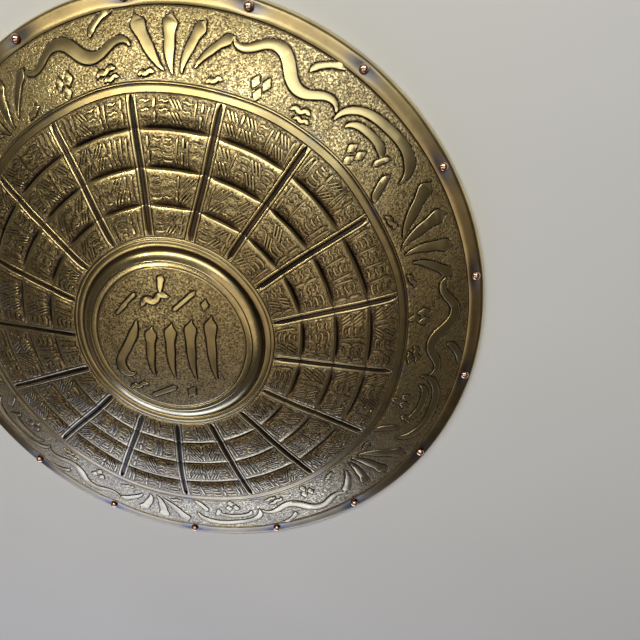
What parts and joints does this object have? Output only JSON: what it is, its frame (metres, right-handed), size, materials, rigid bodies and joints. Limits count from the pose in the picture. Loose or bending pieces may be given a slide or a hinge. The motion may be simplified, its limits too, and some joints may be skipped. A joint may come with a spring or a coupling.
{
  "type": "buckler shield",
  "caption": "Round domed buckler shield of embossed brass, with a low centre boss, pillowed panels between chased grooves, a broad stippled border and a hemmed, riveted rim.",
  "frame": {"origin": "centre of the rim, on the surface that the shield lies on, face up", "axes": "+Z out of the face, through the boss; one groove and one rivet stand on +Y"},
  "size_m": [0.5, 0.5, 0.0576],
  "materials": {
    "antique_brass": "antiqued brass: polished gold-brown highs, dark brown patina in the grooves and the stippled ground",
    "copper_rivet": "polished copper, darkened round the foot of each head"
  },
  "bodies": {
    "root": {"shield_body": "antique_brass", "rim_rivet_01": "copper_rivet", "rim_rivet_02": "copper_rivet", "rim_rivet_03": "copper_rivet", "rim_rivet_04": "copper_rivet", "rim_rivet_05": "copper_rivet", "rim_rivet_06": "copper_rivet", "rim_rivet_07": "copper_rivet", "rim_rivet_08": "copper_rivet", "rim_rivet_09": "copper_rivet", "rim_rivet_10": "copper_rivet", "rim_rivet_11": "copper_rivet", "rim_rivet_12": "copper_rivet", "rim_rivet_13": "copper_rivet", "rim_rivet_14": "copper_rivet", "rim_rivet_15": "copper_rivet", "rim_rivet_16": "copper_rivet", "rim_rivet_17": "copper_rivet"}
  },
  "joints": []
}
